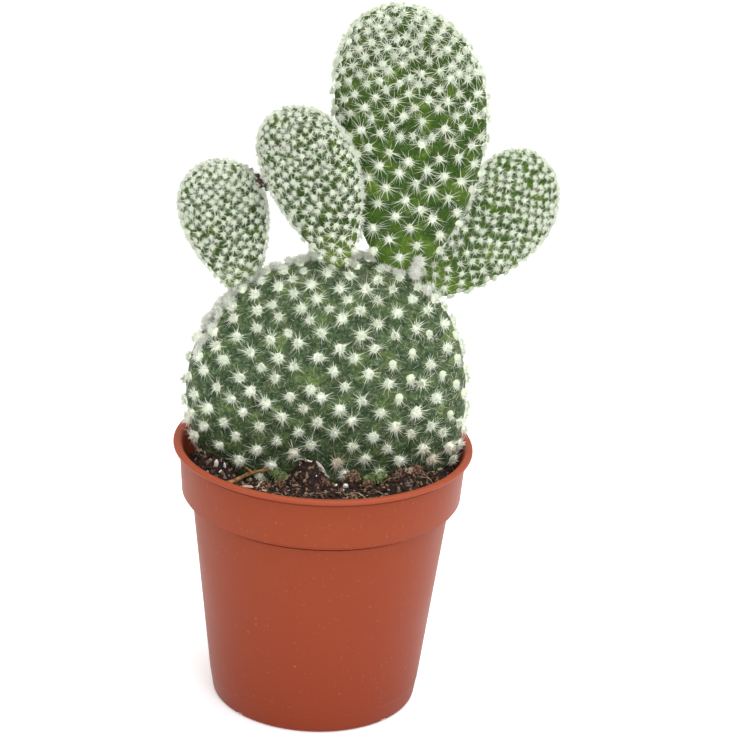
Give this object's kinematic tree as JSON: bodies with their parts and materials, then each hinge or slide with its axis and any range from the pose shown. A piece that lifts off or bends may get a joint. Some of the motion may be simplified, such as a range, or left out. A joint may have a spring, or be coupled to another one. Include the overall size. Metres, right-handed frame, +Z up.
{
  "type": "potted paddle cactus",
  "caption": "Branching paddle cactus with white bristle tufts on flat oval pads, standing in dark soil in a round tapered plastic nursery pot.",
  "frame": {"origin": "centre of the pot's underside, in the plane it stands on", "axes": "+Z up through the plant, -Y towards the viewer of the pads' broad faces, +X to that viewer's right"},
  "size_m": [0.1085, 0.085, 0.2048],
  "materials": {
    "pot": "satin terracotta-coloured plastic",
    "soil": "rough dark peat",
    "pad_base": "matt waxy dark green skin with cream bristle tufts",
    "pad_tall": "satin rich green skin with cream bristle tufts",
    "pad_left_mid": "green skin whitened by close cream bristle tufts",
    "pad_left_small": "green skin whitened by close cream bristle tufts",
    "pad_right": "fresh green skin with close cream bristle tufts"
  },
  "bodies": {
    "root": {"pot": "pot", "soil": "soil", "pad_base": "pad_base", "pad_tall": "pad_tall", "pad_left_mid": "pad_left_mid", "pad_left_small": "pad_left_small", "pad_right": "pad_right"}
  },
  "joints": []
}
